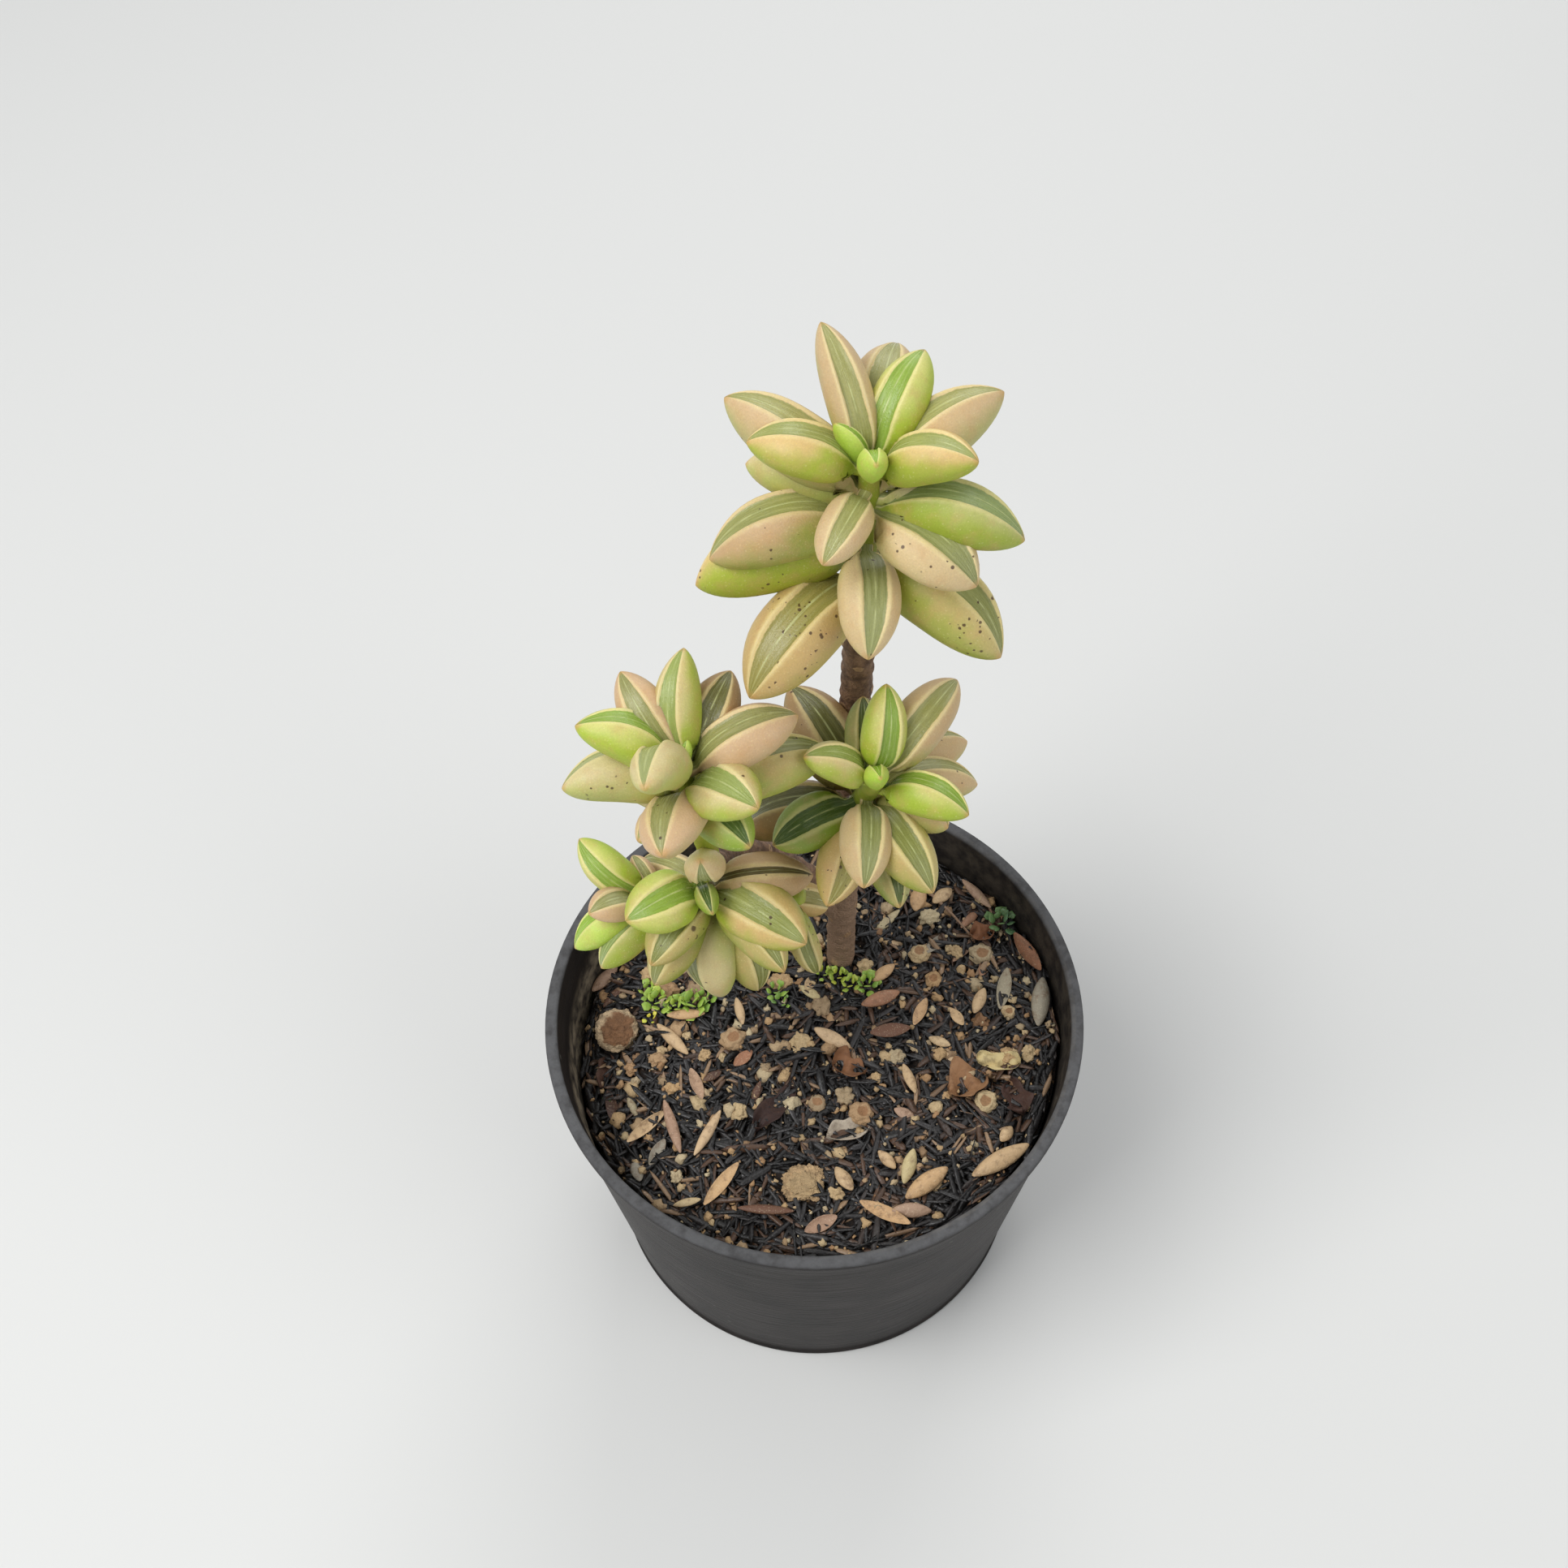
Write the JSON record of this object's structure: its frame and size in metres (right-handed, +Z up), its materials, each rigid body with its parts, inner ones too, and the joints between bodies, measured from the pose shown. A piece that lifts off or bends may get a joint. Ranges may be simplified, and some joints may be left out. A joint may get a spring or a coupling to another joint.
{
  "type": "potted variegated prayer pepper",
  "caption": "Small branching succulent with fat folded cream and green leaves, rooted in a round tapered nursery pot filled with husk topped soil.",
  "frame": {"origin": "middle of the pot's flat base, on the ground", "axes": "+Z up along the pot's axis; the plant's front faces -Y"},
  "size_m": [0.075, 0.075, 0.1573],
  "materials": {
    "pot": "scuffed dark charcoal plastic",
    "soil": "charred husks, bark and grit",
    "bark": "rough bark",
    "stem": "rough brown bark with leaf scars",
    "leaf": "waxy fleshy leaf, cream sides and green window"
  },
  "bodies": {
    "root": {"pot": "pot", "soil": "soil", "bark_nugget": "bark", "bark_disc": "bark", "stem": "stem", "head_top": "leaf", "head_left": "leaf", "head_right": "leaf", "head_low": "leaf"}
  },
  "joints": []
}
